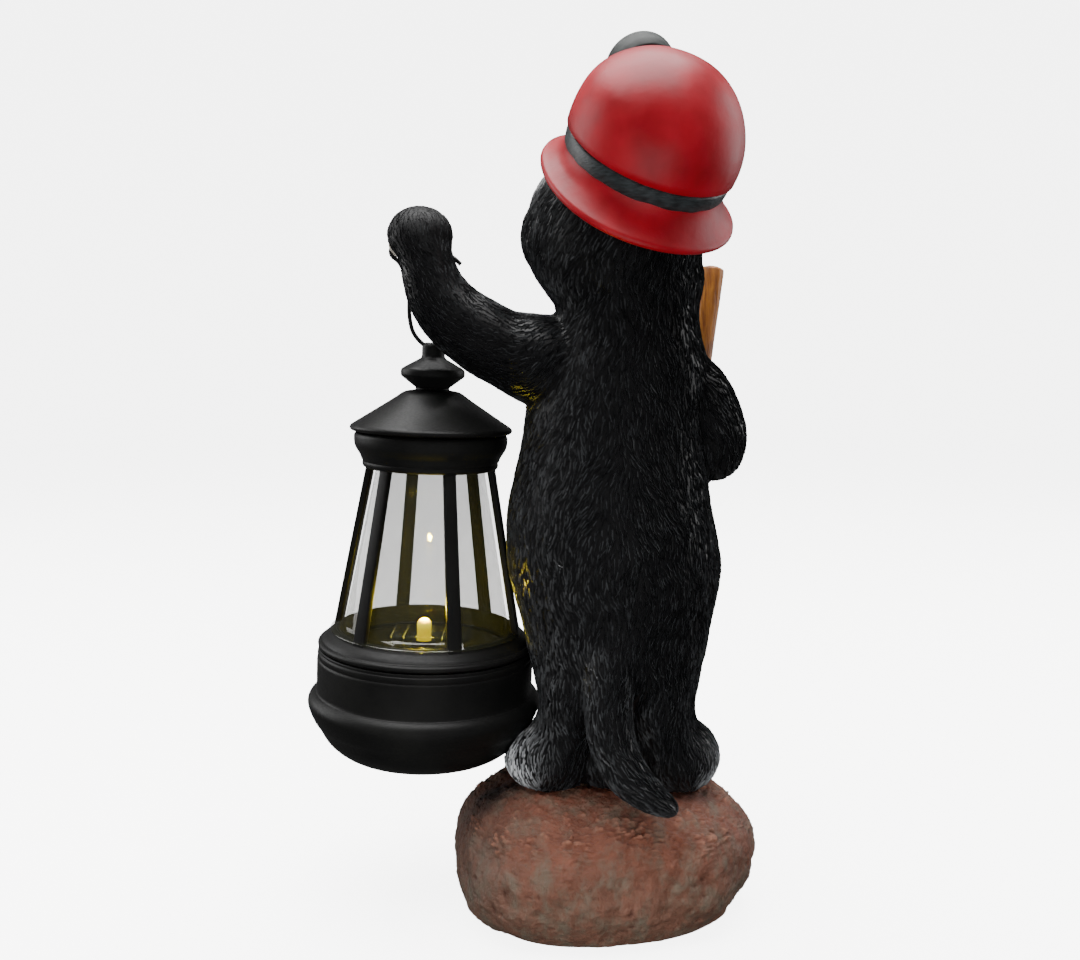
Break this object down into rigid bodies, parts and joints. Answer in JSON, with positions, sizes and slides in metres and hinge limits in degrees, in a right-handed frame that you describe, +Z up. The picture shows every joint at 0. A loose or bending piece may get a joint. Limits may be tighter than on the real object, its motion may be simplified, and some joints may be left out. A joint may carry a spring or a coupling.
{
  "type": "solar mole garden statue",
  "caption": "Painted resin garden statue of an upright mole in a miner's helmet, holding a shovel and a hanging solar lantern, on a rounded rock.",
  "frame": {"origin": "centre of the rock's flat underside", "axes": "+Z up, the mole faces -Y, and its raised left arm with the lantern is on the +X side"},
  "size_m": [0.1714, 0.1087, 0.3212],
  "materials": {
    "painted_resin": "matte paint on cast resin",
    "black_plastic": "satin moulding",
    "clear_plastic": "clear, polished",
    "grey_plastic": "gloss moulding",
    "solar_cell": "dark cell under clear resin",
    "led": "clear lamp, lit",
    "black_wire": "black coated wire"
  },
  "bodies": {
    "root": {"mole_casting": "painted_resin", "lantern_roof": "black_plastic", "lantern_frame": "black_plastic", "lantern_window": "clear_plastic", "lantern_bowl": "black_plastic", "lantern_floor": "grey_plastic", "solar_panel": "solar_cell", "lantern_led": "led", "lantern_hook": "black_wire"}
  },
  "joints": []
}
